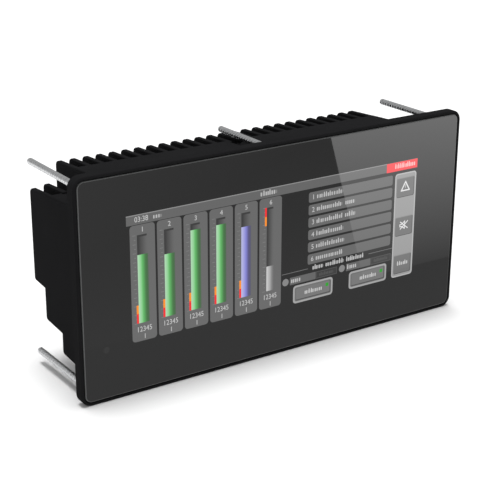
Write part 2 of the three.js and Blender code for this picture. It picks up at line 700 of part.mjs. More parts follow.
// Pressure vent and earth screw on the rear face of the connector field.
{
  const face = REAR_OF_FIELD + 0.2;
  const headed = (shank, reach, head, headDepth) => [
    [0, face - reach],
    [shank, face - reach],
    [shank, face],
    [head, face],
    [head, face + headDepth],
    [0, face + headDepth],
  ];
  const vent = headed(VENT.stem, VENT.reach, VENT.cap, VENT.capDepth);
  place("pressure_vent", turnedY(vent, VENT.x, VENT.z), "blackPlastic");
  const earth = headed(EARTH.shank, EARTH.reach, EARTH.head, EARTH.headDepth);
  place("earth_screw", turnedY(earth, EARTH.x, EARTH.z), "zincSteel");
}

export default panel;
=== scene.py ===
# HMI touch panel: a flush-mount touch display with a finned die-cast rear housing.
# Sizes are in millimetres, as on the drawing of each piece, and become metres where its mesh is made.
import json
import math
import random

import bmesh
import bpy
from mathutils import Matrix, Vector


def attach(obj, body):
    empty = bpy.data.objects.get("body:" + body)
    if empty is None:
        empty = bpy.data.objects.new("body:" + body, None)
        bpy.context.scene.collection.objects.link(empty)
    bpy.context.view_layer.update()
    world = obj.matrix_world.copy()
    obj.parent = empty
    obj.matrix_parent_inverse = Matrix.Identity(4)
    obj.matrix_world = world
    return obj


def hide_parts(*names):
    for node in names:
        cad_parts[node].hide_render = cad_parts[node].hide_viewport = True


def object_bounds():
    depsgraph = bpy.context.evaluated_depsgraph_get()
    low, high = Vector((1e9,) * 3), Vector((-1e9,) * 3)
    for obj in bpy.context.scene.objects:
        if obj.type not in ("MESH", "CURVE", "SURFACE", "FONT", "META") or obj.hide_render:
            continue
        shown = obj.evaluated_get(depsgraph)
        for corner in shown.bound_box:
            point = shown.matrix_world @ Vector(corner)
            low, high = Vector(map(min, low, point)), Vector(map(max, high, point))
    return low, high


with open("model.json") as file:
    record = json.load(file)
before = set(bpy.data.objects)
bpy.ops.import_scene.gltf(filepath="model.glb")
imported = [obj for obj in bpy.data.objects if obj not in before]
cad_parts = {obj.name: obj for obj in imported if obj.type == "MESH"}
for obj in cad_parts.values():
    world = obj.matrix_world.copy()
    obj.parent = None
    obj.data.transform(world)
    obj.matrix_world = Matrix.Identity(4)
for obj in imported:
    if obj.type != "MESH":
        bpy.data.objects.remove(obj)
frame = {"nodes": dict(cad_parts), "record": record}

cad_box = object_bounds()
nodes = frame["nodes"]
MM = 0.001

# ---------- camera ----------
# Stands left of the panel and a little above it, so that the glass, the left side and the top all show.

EYE = (-0.4221, -0.5942, 0.2660)
TURN, DROP, ROLL = (math.radians(angle) for angle in (-34.145, 20.215, 0.2243))

camera_data = bpy.data.cameras.new("camera")
camera_data.lens = 94.36
camera_data.sensor_width = 36
camera = bpy.data.objects.new("camera", camera_data)
bpy.context.scene.collection.objects.link(camera)
tilted = Matrix.Rotation(math.pi / 2 - DROP, 4, "X") @ Matrix.Rotation(ROLL, 4, "Z")
camera.matrix_world = Matrix.Translation(EYE) @ Matrix.Rotation(TURN, 4, "Z") @ tilted
bpy.context.scene.camera = camera
bpy.context.scene.view_settings.view_transform = "Standard"

# ---------- floor and light ----------
# A white studio floor at the frame's lower edge, an even sky, and a broad overhead light a little behind the
# panel. White cards in front show only as reflections: their leaning joint crosses the glass as a soft line.


def colour(code):
    """A linear colour from an sRGB hex code such as #5d5d5d."""
    parts = [int(code[i:i + 2], 16) / 255 for i in (1, 3, 5)]
    linear = [c / 12.92 if c <= 0.04045 else ((c + 0.055) / 1.055) ** 2.4 for c in parts]
    return (*linear, 1.0)


def add(tree, kind, inputs=None, **settings):
    """One node in a tree, with its settings; each input is a value or the output it is linked from."""
    made = tree.nodes.new(kind)
    for name, value in settings.items():
        setattr(made, name, value)
    for socket, value in (inputs or {}).items():
        if isinstance(value, bpy.types.NodeSocket):
            tree.links.new(value, made.inputs[socket])
        else:
            made.inputs[socket].default_value = value
    return made


def new_finish(name, inputs):
    """A material with one Principled shader and that shader's fixed values."""
    material = bpy.data.materials.new(name)
    material.use_nodes = True
    tree = material.node_tree
    tree.nodes.clear()
    shader = add(tree, "ShaderNodeBsdfPrincipled", inputs)
    add(tree, "ShaderNodeOutputMaterial", {"Surface": shader.outputs["BSDF"]})
    return material, tree, shader


def new_object(name, mesh, material=None):
    """An object at the origin for a finished mesh."""
    thing = bpy.data.objects.new(name, mesh)
    bpy.context.scene.collection.objects.link(thing)
    if material:
        mesh.materials.append(material)
    return thing


floor_z = cad_box[0][2]
floor_mesh = bpy.data.meshes.new("floor")
reach = 6.0
corners = [(x * reach, y * reach, floor_z) for x, y in ((-1, -1), (1, -1), (1, 1), (-1, 1))]
floor_mesh.from_pydata(corners, [], [(0, 1, 2, 3)])
floor_white, _, _ = new_finish("white_studio_floor", {"Base Color": colour("#f4f4f4"), "Roughness": 0.9})
floor = new_object("floor", floor_mesh, floor_white)

world = bpy.data.worlds.new("studio")
world.use_nodes = True
world.node_tree.nodes["Background"].inputs["Color"].default_value = (1, 1, 1, 1)
world.node_tree.nodes["Background"].inputs["Strength"].default_value = 0.5
bpy.context.scene.world = world

overhead_data = bpy.data.lights.new("overhead_light", "SUN")
overhead_data.energy = 2.8
overhead_data.angle = math.radians(25)
overhead = bpy.data.objects.new("overhead_light", overhead_data)
overhead.matrix_world = Vector((0, 0.07, 1)).to_track_quat("Z", "Y").to_matrix().to_4x4()
overhead.visible_glossy = False
bpy.context.scene.collection.objects.link(overhead)

# Each card is a quad; every corner has x, y, z and how brightly it glows. The first two stand in front of the
# panel, the third lies on the floor between them and the glass.
CARD_Y, CARD_LOW, CARD_HIGH, CARD_LEFT, CARD_RIGHT = -75, -66, 42, -300, 270
JOINT_LOW, JOINT_HIGH = 117, 85  # where the first two cards meet, below and above
FLOOR_CARD, FLOOR_CARD_END = -65.8, -8
CARDS = [
    [
        (CARD_LEFT, CARD_Y, CARD_LOW, 1.35), (JOINT_LOW, CARD_Y, CARD_LOW, 1.0),
        (JOINT_HIGH, CARD_Y, CARD_HIGH, 0.8), (CARD_LEFT, CARD_Y, CARD_HIGH, 1.5),
    ], [
        (JOINT_LOW, CARD_Y, CARD_LOW, 1.2), (CARD_RIGHT, CARD_Y, CARD_LOW, 1.2),
        (CARD_RIGHT, CARD_Y, CARD_HIGH, 4.3), (JOINT_HIGH, CARD_Y, CARD_HIGH, 4.3),
    ], [
        (CARD_LEFT, CARD_Y, FLOOR_CARD, 1.25), (CARD_RIGHT, CARD_Y, FLOOR_CARD, 0.9),
        (CARD_RIGHT, FLOOR_CARD_END, FLOOR_CARD, 0.85), (CARD_LEFT, FLOOR_CARD_END, FLOOR_CARD, 1.2),
    ],
]
card_mesh = bpy.data.meshes.new("reflector_cards")
card_points = [Vector(corner[:3]) * MM for card in CARDS for corner in card]
card_mesh.from_pydata(card_points, [], [(4 * i, 4 * i + 1, 4 * i + 2, 4 * i + 3) for i in range(len(CARDS))])
card_glow = card_mesh.attributes.new("glow", "FLOAT", "POINT")
for point, corner in zip(card_glow.data, (corner for card in CARDS for corner in card)):
    point.value = corner[3]
glowing = bpy.data.materials.new("glowing_card")
glowing.use_nodes = True
tree = glowing.node_tree
tree.nodes.clear()
glow = add(tree, "ShaderNodeAttribute", attribute_name="glow")
light = add(tree, "ShaderNodeEmission", {"Strength": glow.outputs["Fac"]})
add(tree, "ShaderNodeOutputMaterial", {"Surface": light.outputs["Emission"]})
cards = new_object("reflector_cards", card_mesh, glowing)
cards.visible_camera = False
cards.visible_shadow = False
cards.visible_diffuse = False

# ---------- front frame ----------
# Milled from aluminium plate, bead blasted and anodised black. The glass lies in its recess on a ledge, flush
# with the rim; its rear face carries the grooves of the two gaskets and is pressed against the console.


def fine_grain(tree, shader, code, spread, rough, grain, depth):
    """Colour, roughness and bump from two noises: one as fine as the grain in mm, one forty times broader."""
    place = add(tree, "ShaderNodeTexCoord").outputs["Object"]
    fine = add(tree, "ShaderNodeTexNoise", {"Vector": place, "Scale": 1 / (grain * MM), "Detail": 2.0})
    broad = add(tree, "ShaderNodeTexNoise", {"Vector": place, "Scale": 1 / (40 * grain * MM), "Detail": 3.0})
    base = colour(code)
    light, dark = ([channel * (1 + side * spread) for channel in base[:3]] + [1] for side in (1, -1))
    tint = add(tree, "ShaderNodeMix", {0: broad.outputs["Fac"], 6: dark, 7: light}, data_type="RGBA")
    polish = add(tree, "ShaderNodeMapRange", {
        "Value": broad.outputs["Fac"], "To Min": rough[0], "To Max": rough[1],
    })
    bump = add(tree, "ShaderNodeBump", {
        "Height": fine.outputs["Fac"], "Distance": depth * MM, "Strength": 1.0,
    })
    tree.links.new(tint.outputs[2], shader.inputs["Base Color"])
    tree.links.new(polish.outputs["Result"], shader.inputs["Roughness"])
    tree.links.new(bump.outputs["Normal"], shader.inputs["Normal"])


def finish(name, code, rough, grain, depth, spread=0.12, **fixed):
    """A material with fine grain; fixed holds the shader's own constant values, by socket name."""
    inputs = {key.replace("_", " "): value for key, value in fixed.items()}
    material, tree, shader = new_finish(name, inputs)
    fine_grain(tree, shader, code, spread, rough, grain, depth)
    return material


def loop_points(width, height, radius, y, steps=10):
    """A rounded rectangle round the origin in the plane y."""
    points = []
    for corner, (side, level) in enumerate([(1, 1), (-1, 1), (-1, -1), (1, -1)]):
        for step in range(steps + 1):
            angle = math.pi / 2 * (corner + step / steps)
            x = side * (width / 2 - radius) + radius * math.cos(angle)
            z = level * (height / 2 - radius) + radius * math.sin(angle)
            points.append((x, y, z))
    return points


def loft(bm, loops, closed):
    """Joins equal loops of points by quads. A closed loft ends where it starts, an open one has end faces."""
    rings = [[bm.verts.new(point) for point in loop] for loop in loops]
    count = len(rings[0])
    pairs = list(zip(rings, rings[1:]))
    if closed:
        pairs.append((rings[-1], rings[0]))
    for near, far in pairs:
        for i in range(count):
            j = (i + 1) % count
            bm.faces.new((near[i], near[j], far[j], far[i]))
    if not closed:
        bm.faces.new(rings[0])
        bm.faces.new(rings[-1])


def smooth(mesh, angle=32):
    """Smooth shading, with edges sharper than the angle kept crisp."""
    mesh.shade_smooth()
    mesh.set_sharp_from_angle(angle=math.radians(angle))


def finished(bm, name, material, angle=32):
    """The bmesh, drawn in mm, as an object in metres with its faces outwards."""
    bmesh.ops.recalc_face_normals(bm, faces=bm.faces)
    bmesh.ops.scale(bm, vec=(MM, MM, MM), verts=bm.verts)
    mesh = bpy.data.meshes.new(name)
    bm.to_mesh(mesh)
    bm.free()
    smooth(mesh, angle)
    return new_object(name, mesh, material)


def baked(thing, angle=32):
    """Replaces an object's mesh by what its modifiers make of it."""
    graph = bpy.context.evaluated_depsgraph_get()
    mesh = bpy.data.meshes.new_from_object(thing.evaluated_get(graph))
    thing.modifiers.clear()
    thing.data = mesh
    smooth(mesh, angle)
    return thing


def bevelled(thing, width, segments=3, angle=35):
    """Rounds the edges that are sharper than the angle."""
    edge = thing.modifiers.new("edge", "BEVEL")
    edge.width = width * MM
    edge.segments = segments
    edge.limit_method = "ANGLE"
    edge.angle_limit = math.radians(angle)
    edge.use_clamp_overlap = True
    edge.harden_normals = False
    return baked(thing)


def settled(thing):
    """Keeps flat faces flat in the shading where they run into rounded edges."""
    even = thing.modifiers.new("even", "WEIGHTED_NORMAL")
    even.weight = 100
    even.keep_sharp = True
    graph = bpy.context.evaluated_depsgraph_get()
    mesh = bpy.data.meshes.new_from_object(thing.evaluated_get(graph))
    thing.modifiers.clear()
    thing.data = mesh
    return thing


def carved(thing, tool, operation="DIFFERENCE"):
    """Cuts a tool's shape out of an object, or joins it on, and removes the tool."""
    cut = thing.modifiers.new("cut", "BOOLEAN")
    cut.object = tool
    cut.operation = operation
    cut.solver = "MANIFOLD"
    baked(thing)
    bpy.data.objects.remove(tool)
    return thing


def add_bar_y(bm, radius, x, z, y0, y1, sides=32):
    """A round bar along Y."""
    turn = [2 * math.pi * i / sides for i in range(sides)]
    loops = [[(x + radius * math.cos(a), y, z + radius * math.sin(a)) for a in turn] for y in (y0, y1)]
    loft(bm, loops, closed=False)


FRAME_W, FRAME_H, FRAME_R, FRAME_D, RIM_EDGE = 270, 132, 6.5, 7, 1.0
RECESS_W, RECESS_H, RECESS_R, LEDGE_Y = 266.4, 128.6, 4.7, -3.8
WINDOW_W, WINDOW_H = 224, 93.4
STUD_X, STUD_Z = 127.4, 58.2
stud_places = [(x, z) for z in (STUD_Z, -STUD_Z) for x in (-STUD_X, 0, STUD_X)]

anodised = finish("black_anodised_aluminium", "#1b1b1c", (0.8, 0.9), 0.25, 0.002, Specular_IOR_Level=0.02)

bm = bmesh.new()
loops = [
    loop_points(FRAME_W - 0.6, FRAME_H - 0.6, FRAME_R - 0.3, 0),
    loop_points(FRAME_W, FRAME_H, FRAME_R, -0.3),
]
for step in range(6):
    lean = math.pi / 2 * step / 5
    inset = RIM_EDGE * (1 - math.cos(lean))
    y = -FRAME_D + RIM_EDGE - RIM_EDGE * math.sin(lean)
    loops.append(loop_points(FRAME_W - 2 * inset, FRAME_H - 2 * inset, FRAME_R - inset, y))
loops += [
    loop_points(RECESS_W + 0.4, RECESS_H + 0.4, RECESS_R + 0.2, -FRAME_D),
    loop_points(RECESS_W, RECESS_H, RECESS_R, -FRAME_D + 0.2),
    loop_points(RECESS_W, RECESS_H, RECESS_R, LEDGE_Y),
    loop_points(WINDOW_W, WINDOW_H, 3, LEDGE_Y),
    loop_points(WINDOW_W, WINDOW_H, 3, 0),
    loop_points(226.2, 96, 1.6, 0),
    loop_points(226.2, 96, 1.6, -1.1),
    loop_points(229, 98.8, 3, -1.1),
    loop_points(229, 98.8, 3, 0),
    loop_points(261, 123, 1, 0),
    loop_points(261, 123, 1, -1.4),
    loop_points(267, 129, 4, -1.4),
    loop_points(267, 129, 4, 0),
]
loft(bm, loops, closed=True)
front_frame = finished(bm, "front_frame_milled", anodised)
bm = bmesh.new()
for x, z in stud_places:
    add_bar_y(bm, 2.3, x, z, LEDGE_Y - 1, 1)
settled(carved(front_frame, finished(bm, "stud_drills", None)))
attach(front_frame, "panel")
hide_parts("front_frame")

# ---------- cover glass ----------
# Chemically hardened glass, 2 mm, printed black behind, with a finely ground edge all round. It is bonded
# into the recess by a tape ring. The ground edge is given a lighter grey than the print: partly its bare
# glass, partly a painted highlight that shows as a thin bright line.

GLASS_W, GLASS_H, GLASS_R, GLASS_D, EDGE = 265.4, 127.6, 4.2, 2, 0.6

# Printed glass reflects as polished glass does over an even near-black ground.
black_glass, tree, shader = new_finish("back_printed_cover_glass", {
    "Base Color": colour("#060606"), "Roughness": 0.03, "IOR": 1.4,
})
place = add(tree, "ShaderNodeTexCoord").outputs["Object"]
wave = add(tree, "ShaderNodeTexNoise", {"Vector": place, "Scale": 1 / (60 * MM), "Detail": 1.0})
bump = add(tree, "ShaderNodeBump", {"Height": wave.outputs["Fac"], "Distance": 0.01 * MM, "Strength": 1.0})
tree.links.new(bump.outputs["Normal"], shader.inputs["Normal"])

# The black print ends short of the edge, so the ground edge shows as bare greyish glass; its grey is lifted
# further as a painted highlight, the bright line along the edge.
ground_edge_and_painted_highlight = finish("ground_glass_edge_and_painted_highlight", "#4e4f4f", (0.3, 0.4), 0.1, 0.002)

bm = bmesh.new()
back = -FRAME_D + GLASS_D
loops = [
    loop_points(GLASS_W - 0.4, GLASS_H - 0.4, GLASS_R - 0.2, back),
    loop_points(GLASS_W, GLASS_H, GLASS_R, back - 0.2),
]
for step in range(5):
    lean = math.pi / 2 * step / 4
    inset = EDGE * (1 - math.cos(lean))
    y = -FRAME_D + EDGE - EDGE * math.sin(lean)
    loops.append(loop_points(GLASS_W - 2 * inset, GLASS_H - 2 * inset, GLASS_R - inset, y))
loops.append(loop_points(GLASS_W - 2 * EDGE - 0.2, GLASS_H - 2 * EDGE - 0.2, GLASS_R - EDGE - 0.1, -FRAME_D))
loft(bm, loops, closed=False)
glass = finished(bm, "cover_glass_sheet", black_glass, angle=20)
# The edge faces take the grey of the bare ground glass together with a painted highlight.
glass.data.materials.append(ground_edge_and_painted_highlight)
for face in glass.data.polygons:
    if face.normal.y > -0.999 and face.center.y < (back - 0.2) * MM:
        face.material_index = 1
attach(glass, "panel")
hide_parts("cover_glass")

# A bead of black sealant fills the joint between glass and frame.
sealant, _, _ = new_finish("black_sealant", {
    "Base Color": colour("#050505"), "Roughness": 0.9, "Specular IOR Level": 0.02,
})
bm = bmesh.new()
loft(bm, [
    loop_points(RECESS_W - 0.02, RECESS_H - 0.02, RECESS_R, -5.4),
    loop_points(RECESS_W - 0.02, RECESS_H - 0.02, RECESS_R, -6.2),
    loop_points(GLASS_W + 0.02, GLASS_H + 0.02, GLASS_R, -6.2),
    loop_points(GLASS_W + 0.02, GLASS_H + 0.02, GLASS_R, -5.4),
], closed=True)
bead = finished(bm, "sealant_bead", sealant)
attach(bead, "panel")

# ---------- screen image ----------
# What the display shows, bonded so that it seems to lie in the glass surface: a status bar, six tank gauges,
# a list, two pump controls and a key column. Every patch is a flat plate with its own lit colour.

LAYER = 0.012  # each patch lies this much in front of the one below
SCREEN_RISE = 0.8  # the lit area sits this much above the middle of the glass

image = bmesh.new()
tint = image.loops.layers.float_color.new("tint")
rng = random.Random(5)


def patch(x0, x1, z0, z1, layer, code, radius=0.0, steps=5):
    """A plate from x0 to x1 and z0 to z1. A list of codes runs as a gradient from left to right."""
    front = -FRAME_D - LAYER * layer
    back = -FRAME_D + 0.02
    codes = [code] if isinstance(code, str) else code
    if len(codes) == 1:
        points = loop_points(x1 - x0, z1 - z0, max(radius, 0.01), front, steps if radius else 1)
        cx, cz = (x0 + x1) / 2, (z0 + z1) / 2
        near = [(x + cx, front, z + cz) for x, _, z in points]
        far = [(x + cx, back, z + cz) for x, _, z in points]
        before = len(image.faces)
        loft(image, [near, far], closed=False)
        image.faces.ensure_lookup_table()
        for face in image.faces[before:]:
            for loop in face.loops:
                loop[tint] = colour(codes[0])
        return
    shades = [colour(c) for c in codes]
    before = len(image.faces)
    count = len(codes)
    xs = [x0 + (x1 - x0) * i / (count - 1) for i in range(count)]
    near = [[image.verts.new((x, front, z)) for x in xs] for z in (z0, z1)]
    far = [[image.verts.new((x, back, z)) for x in xs] for z in (z0, z1)]
    for i in range(count - 1):
        image.faces.new((near[0][i], near[0][i + 1], near[1][i + 1], near[1][i]))
        image.faces.new((far[0][i], far[1][i], far[1][i + 1], far[0][i + 1]))
        image.faces.new((near[0][i], far[0][i], far[0][i + 1], near[0][i + 1]))
        image.faces.new((near[1][i], near[1][i + 1], far[1][i + 1], far[1][i]))
    image.faces.new((near[0][0], near[1][0], far[1][0], far[0][0]))
    image.faces.new((near[0][-1], far[0][-1], far[1][-1], near[1][-1]))
    image.faces.ensure_lookup_table()
    for face in image.faces[before:]:
        for loop in face.loops:
            nearest = min(range(count), key=lambda i: abs(xs[i] - loop.vert.co.x))
            loop[tint] = shades[nearest]


def digits(text, x, z, cap, layer, code, stretch=1.0):
    """Figures of a given height, centred on x, z."""
    curve = bpy.data.curves.new("digits", "FONT")
    curve.body = text
    curve.extrude = 0.5
    curve.resolution_u = 3
    source = bpy.data.objects.new("digits", curve)
    bpy.context.scene.collection.objects.link(source)
    graph = bpy.context.evaluated_depsgraph_get()
    mesh = bpy.data.meshes.new_from_object(source.evaluated_get(graph))
    bpy.data.objects.remove(source)
    xs = [v.co.x for v in mesh.vertices]
    ys = [v.co.y for v in mesh.vertices]
    scale = cap / (max(ys) - min(ys))
    cx, cy = (max(xs) + min(xs)) / 2, (max(ys) + min(ys)) / 2
    front, back = -FRAME_D - LAYER * layer, -FRAME_D + 0.02
    for v in mesh.vertices:
        depth = front if v.co.z > 0 else back
        v.co = (x + (v.co.x - cx) * scale * stretch, depth, z + (v.co.y - cy) * scale)
    before = len(image.faces)
    image.from_mesh(mesh)
    image.faces.ensure_lookup_table()
    for face in image.faces[before:]:
        for loop in face.loops:
            loop[tint] = colour(code)


def word(x0, x1, z, height, layer, dim, bright):
    """A row of strokes on a soft bar, where the real screen has a word."""
    patch(x0, x1, z - height * 0.36, z + height * 0.3, layer, dim, radius=height * 0.15, steps=2)
    x = x0 + 0.1 * height
    while x < x1 - 0.2 * height:
        tall = rng.random() < 0.3
        top = height * (0.62 if tall else 0.34)
        patch(x, x + 0.2 * height, z - height * 0.4, z + top, layer + 1, bright)
        x += height * rng.choice((0.42, 0.5, 0.62))


BAR_GREY, PANEL_GREY, WORD_DIM, WORD = "#5d5d5d", "#606060", "#7d7d7d", "#c4c4c4"
patch(-104.3, 101.0, 33.5, 39.2, 1, BAR_GREY)
patch(-104.3, 76.6, 38.7, 39.2, 2, "#8c8c8c")
digits("03:38", -94.9, 36.4, 3.0, 3, WORD, 0.92)
word(-87.6, -82.0, 36.1, 2.6, 3, WORD_DIM, WORD)
word(-16.9, -5.1, 36.3, 3.1, 3, WORD_DIM, WORD)
patch(76.6, 101.0, 33.3, 39.0, 2, "#f6363c")
word(83.0, 99.3, 36.2, 3.1, 3, "#ff7c7c", "#ffc4c4")

GAUGE = {"pitch": 17.0, "width": 15.7, "first": -94.5, "top": 33.2, "bottom": -35.3}
SLOT = {"left": -3.4, "right": 3.3, "top": 27.4, "bottom": -24.4}
GREEN = ["#b0d8b4", "#9ed2a3", "#88cd8d", "#5db462", "#4c9a50", "#3c743c", "#376537", "#4a5e4a"]
BLUE = ["#b8bbe1", "#aaaade", "#9c9cda", "#8585d3", "#7070b8", "#545082", "#4e4c70", "#525262"]
WHITE = ["#cacaca", "#c3c3c3", "#b4b4b4", "#ababab", "#9a9a9a", "#818181", "#707070", "#646464"]
RECESS = ["#252525", "#303030", "#404040", "#4a4a4a", "#545454", "#5c5c5c", "#606060"]
levels = [(15.9, GREEN), (12.9, GREEN), (23.6, GREEN), (23.4, GREEN), (18.9, BLUE), (-8.9, WHITE)]
for index, (level, shades) in enumerate(levels):
    x = GAUGE["first"] + GAUGE["pitch"] * index
    half = GAUGE["width"] / 2
    last = index == len(levels) - 1
    patch(x - half, x + half, GAUGE["bottom"], GAUGE["top"], 1, PANEL_GREY, radius=2.0)
    digits(str(index + 1), x + 0.1, 30.4, 2.8, 2, WORD)
    left = x + SLOT["left"] + (0.7 if last else 0)
    right = x + SLOT["right"] - (0.9 if last else 0)
    patch(left, right, SLOT["bottom"], SLOT["top"], 2, RECESS)
    patch(left, right - 0.6, SLOT["top"] - 1.1, SLOT["top"], 3, "#2c2c2c")
    patch(left, right, SLOT["bottom"], level, 4, shades)
    for step in range(21):
        z = SLOT["bottom"] + (SLOT["top"] - SLOT["bottom"]) * step / 20
        length = 1.0 if step % 2 else 1.9
        patch(left - 0.9 - length, left - 0.9, z - 0.14, z + 0.14, 2, "#7e7e7e")
    marks = [("#fb8d10", -13.6, -18.7), ("#f2181e", -18.7, -24.4)]
    if last:
        marks = [("#fb8d10", 21.9, 16.4), ("#f2181e", 27.4, 21.9)]
    for code, upper, lower in marks:
        patch(left - 1.35, left - 0.05, lower, upper, 3, code)
    digits("12345", x + 0.2, -28.1, 3.1, 2, WORD, 0.9)
    patch(x - 0.05, x + 0.45, -34.1, -31.3, 2, "#b4b4b4")

ROW = {"left": 17.8, "right": 81.7, "top": 31.2, "height": 6.4, "pitch": 7.78}
ends = [(43.3,), (43.0, 52.6), (43.0, 53.4), (44.4,), (45.4,), (44.2,)]
starts = [(23.6,), (23.6, 45.0), (23.6, 45.0), (23.6,), (23.6,), (23.6,)]
for index in range(6):
    top = ROW["top"] - ROW["pitch"] * index
    middle = top - ROW["height"] / 2
    patch(ROW["left"], ROW["right"], top - ROW["height"], top, 1, PANEL_GREY, radius=1.3)
    digits(str(index + 1), 21.2, middle + 0.1, 3.0, 2, WORD)
    for start, end in zip(starts[index], ends[index]):
        word(start, end, middle, 3.0, 2, WORD_DIM, WORD)

patch(-1.0, 18.1, -16.8, -16.4, 1, "#6a6a6a")
patch(64.6, 83.5, -16.8, -16.4, 1, "#6a6a6a")
for start, end in ((21.4, 29.6), (31.2, 45.4), (47.0, 60.6)):
    word(start, end, -16.7, 3.0, 1, WORD_DIM, WORD)
for x in (0.0, 42.3):
    patch(x + 1.7 - 2.3, x + 1.7 + 2.3, -24.2, -19.6, 2, "#7f7f7f", radius=2.29)
    patch(x + 4.9, x + 24.0, -24.4, -19.7, 1, "#5c5c5c")
    word(x + 5.6, x + 12.8, -22.0, 3.0, 2, WORD_DIM, WORD)
    patch(x + 24.2, x + 40.2, -24.4, -19.7, 1, "#454545")
    patch(x + 24.7, x + 39.7, -23.9, -20.2, 2, "#2a2a2a")
    word(x + 26.6, x + 37.8, -22.1, 2.2, 3, "#343434", "#4c4c4c")
    patch(x + 7.4, x + 37.1, -37.0, -25.6, 1, "#a0a0a0", radius=2.0)
    patch(x + 8.6, x + 35.9, -35.8, -26.8, 2, "#666666", radius=1.2)
    patch(x + 9.6, x + 35.4, -35.2, -27.6, 3, "#3c3c3c", radius=0.6)
    patch(x + 9.6, x + 34.9, -34.7, -27.6, 4, "#6f6f6f", radius=0.6)
    word(x + 15.8, x + 28.9, -31.3, 2.8, 5, "#8c8c8c", "#cfcfcf")
    patch(x + 31.7, x + 33.9, -30.9, -28.7, 5, "#169a16", radius=0.5)

COLUMN_GREY, KEY_GREY = "#969696", "#6c6c6c"
patch(83.7, 100.6, -37.0, 31.4, 1, "#b4b4b4", radius=2.0)
patch(84.5, 99.8, -36.2, 30.6, 2, COLUMN_GREY, radius=1.3)
for z in (22.2, -3.2, -28.4):
    patch(85.4, 99.2, z - 6.5, z + 6.0, 3, "#404040", radius=1.0)
    patch(85.2, 98.7, z - 6.1, z + 6.2, 4, KEY_GREY, radius=1.0)
    patch(85.2, 98.7, z + 5.7, z + 6.2, 5, "#8a8a8a")


def stroke(points, width, layer, code):
    """A line of even width through points in the screen's plane."""
    for (ax, az), (bx, bz) in zip(points, points[1:]):
        length = math.hypot(bx - ax, bz - az)
        ux, uz = (bx - ax) / length * width / 2, (bz - az) / length * width / 2
        front, back = -FRAME_D - LAYER * layer, -FRAME_D + 0.02
        rim = [(ax - ux - uz, az - uz + ux), (ax - ux + uz, az - uz - ux),
               (bx + ux + uz, bz + uz - ux), (bx + ux - uz, bz + uz + ux)]
        before = len(image.faces)
        loft(image, [[(x, y, z) for x, z in rim] for y in (front, back)], closed=False)
        image.faces.ensure_lookup_table()
        for face in image.faces[before:]:
            for loop in face.loops:
                loop[tint] = colour(code)


ICON = "#e2e2e2"
stroke([(88.9, 19.9), (92.1, 25.5), (95.3, 19.9), (88.9, 19.9)], 0.8, 6, ICON)
stroke([(92.1, 23.4), (92.1, 21.7)], 0.6, 6, "#b8b8b8")
horn = [(89.0, -2.2), (90.4, -2.2), (92.8, -0.4), (92.8, -5.2), (90.4, -3.6), (89.0, -3.6), (89.0, -2.2)]
stroke(horn, 0.6, 6, ICON)
stroke([(89.4, -0.6), (95.2, -5.2)], 0.6, 7, ICON)
stroke([(89.4, -5.2), (95.2, -0.6)], 0.6, 7, ICON)
word(87.9, 97.0, -28.3, 2.8, 5, "#8c8c8c", "#cfcfcf")

# The lit colour comes from within; the surface in front of it reflects as the bare glass does.
lit, tree, shader = new_finish("bonded_display_image", {
    "Base Color": colour("#060606"), "Roughness": 0.03, "IOR": 1.4, "Emission Strength": 1.0,
})
shade = add(tree, "ShaderNodeAttribute", attribute_name="tint")
tree.links.new(shade.outputs["Color"], shader.inputs["Emission Color"])
bmesh.ops.translate(image, vec=(0, 0, SCREEN_RISE), verts=image.verts)
screen = finished(image, "screen_image", lit)
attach(screen, "panel")

# A clear dot in the print shows the light sensor behind it.
sensor_dot, _, _ = new_finish("sensor_window", {
    "Base Color": colour("#1d1d1d"), "Roughness": 0.03, "IOR": 1.4,
})
bm = bmesh.new()
add_bar_y(bm, 1.9, -118.8, -34.6, -FRAME_D - LAYER, -FRAME_D + 0.02)
window = finished(bm, "sensor_window", sensor_dot)
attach(window, "panel")

# ---------- rear housing ----------
# Pressure-cast aluminium, open at the front, with a stepped underside. Its walls and fins are one casting,
# powder coated black: the coat rounds every edge a little and leaves a soft, slightly uneven sheen.

powder = finish("black_powder_coat", "#1b1b1c", (0.8, 0.95), 0.5, 0.012, spread=0.2, Specular_IOR_Level=0.02)

STEPS = [(69.3, -16.6), (55.9, -37.3), (35.7, -51.6)]  # depth of each step and where it ends below
FRONT, TOP, INNER_TOP, OUTER_TOP, TOP_DRAFT, UNDER_DRAFT = 0.3, 57.6, 45.2, 44.0, 0.057, 0.08
PITCH, FIN_T, REACH, TIP_R, CORNER_R = 8.5, 3.2, 23.3, 3.0, 2.0
FULL_FINS, SHORT_FINS, ROOT = 26, 2, 2.5
FIELD_HALF, FIELD_BOTTOM, FIELD_TOP, FIELD_REAR = 80, -53, -34, 35.75
FLANGE_HALF, FLANGE_REAR, WALL = 121.8, 9, 3
SKIN = 0.12  # the walls end this much inside the outline of the fins
CONNECTOR_REAR = 25.7


def top_at(top, y):
    return top - TOP_DRAFT * y


def under_at(step, y):
    return STEPS[step][1] - UNDER_DRAFT * (STEPS[step][0] - y)


def body_outline(top, inset=0.0, reach=REACH):
    """Side outline of the hollow body, which is shallower than the fins by their reach."""
    front = FRONT - 1 if inset else FRONT
    inset = max(inset, SKIN)
    depths = [depth - reach - inset for depth, _ in STEPS]
    outline = [(front, top_at(top, front) - inset), (depths[0], top_at(top, depths[0]) - inset)]
    for step, depth in enumerate(depths):
        after = depths[step + 1] if step + 1 < len(STEPS) else front
        outline += [(depth, under_at(step, depth) + inset), (after, under_at(step, after) + inset)]
    return outline


def add_prism(bm, outline, x0, x1):
    """A side outline of (y, z) points swept along X."""
    loft(bm, [[(x, y, z) for y, z in outline] for x in (x0, x1)], closed=False)


def add_box(bm, x0, x1, y0, y1, z0, z1):
    add_prism(bm, [(y0, z0), (y1, z0), (y1, z1), (y0, z1)], x0, x1)


def fin_centre(index):
    return (index - (FULL_FINS - 1) / 2) * PITCH


